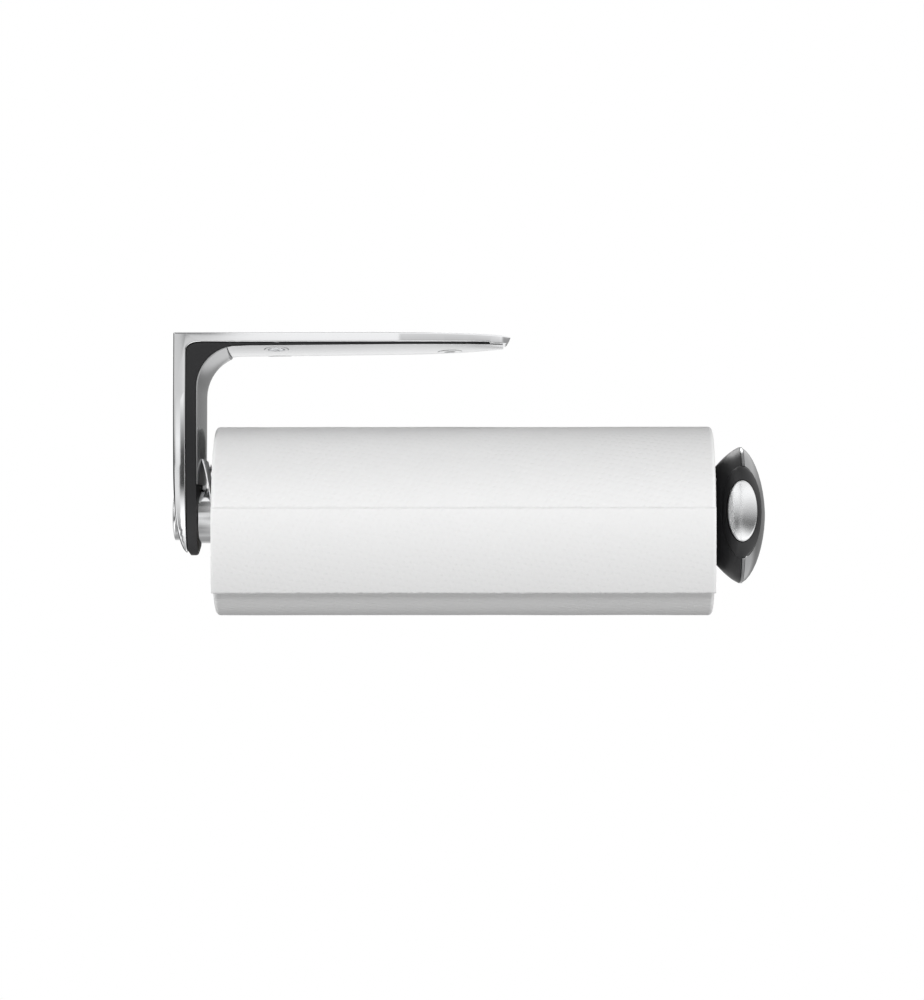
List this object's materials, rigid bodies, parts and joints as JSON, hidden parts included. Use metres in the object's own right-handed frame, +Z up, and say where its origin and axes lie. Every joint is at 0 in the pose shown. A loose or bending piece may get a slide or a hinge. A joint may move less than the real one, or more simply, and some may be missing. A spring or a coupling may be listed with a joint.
{
  "type": "paper towel holder",
  "caption": "Under-cabinet paper towel holder: bent bracket with a black liner, cantilever spindle and a quick-release disc knob, shown holding a towel roll.",
  "frame": {"origin": "on the mounting face, half way between the rear screws and the tip screw along x, at mid depth", "axes": "+X along the spindle from the bracket to the knob, -Y towards the user, +Z up into the cabinet"},
  "size_m": [0.3338, 0.1072, 0.1574],
  "materials": {
    "chrome_shell": "polished",
    "black_plastic": "satin",
    "satin_cover": "satin",
    "plain_steel": "satin",
    "polished_spindle": "polished",
    "cast_zinc": "matte",
    "knob_chrome": "satin",
    "button_satin": "satin",
    "spring_steel": "polished",
    "towel_paper": "matte",
    "core_card": "matte"
  },
  "bodies": {
    "bracket": {"bracket_shell": "chrome_shell", "bracket_liner": "black_plastic", "arm_cover": "satin_cover", "foot_cover": "satin_cover", "screw_ferrule_front": "plain_steel", "screw_ferrule_rear": "plain_steel", "screw_ferrule_tip": "plain_steel", "liner_screw_1": "plain_steel", "liner_screw_2": "plain_steel", "axle_cap": "chrome_shell", "axle_bolt": "plain_steel", "lock_washer": "plain_steel", "spindle_hub": "cast_zinc", "spindle_collar": "polished_spindle", "spindle_tube": "polished_spindle", "spindle_end_plug": "cast_zinc", "brake_leaf_rivet": "plain_steel"},
    "brake_leaf": {"brake_leaf": "spring_steel"},
    "knob": {"knob_body": "black_plastic", "knob_latch_carrier": "black_plastic", "knob_trim_ring": "knob_chrome", "knob_cover": "knob_chrome", "knob_screw_1": "plain_steel", "knob_screw_2": "plain_steel", "knob_screw_3": "plain_steel", "knob_screw_4": "plain_steel", "button_spring_front": "spring_steel", "button_spring_rear": "spring_steel"},
    "button_front": {"button_front": "button_satin", "latch_plate_front": "plain_steel"},
    "button_rear": {"button_rear": "button_satin", "latch_plate_rear": "plain_steel"},
    "roll": {"roll_core": "core_card", "roll_winding": "towel_paper", "roll_tail": "towel_paper"}
  },
  "joints": [
    {"name": "roll_spin", "type": "hinge", "parent": "bracket", "child": "roll", "pos_m": [0, 0, -0.1042], "axis": [1, 0, 0], "continuous": true},
    {"name": "knob_pull", "type": "slide", "parent": "bracket", "child": "knob", "axis": [1, 0, 0], "range_m": [0, 0.03]},
    {"name": "front_button_press", "type": "slide", "parent": "knob", "child": "button_front", "axis": [0, 1, 0], "range_m": [0, 0.003], "stiffness_N_per_m": 1000, "deforming": ["button_spring_front"]},
    {"name": "rear_button_press", "type": "slide", "parent": "knob", "child": "button_rear", "axis": [0, -1, 0], "range_m": [0, 0.003], "stiffness_N_per_m": 1000, "deforming": ["button_spring_rear"]},
    {"name": "brake_leaf_flex", "type": "hinge", "parent": "bracket", "child": "brake_leaf", "pos_m": [-0.0885, 0, -0.0745], "axis": [0, 1, 0], "range_deg": [0, 3], "stiffness_Nm_per_rad": 1}
  ]
}
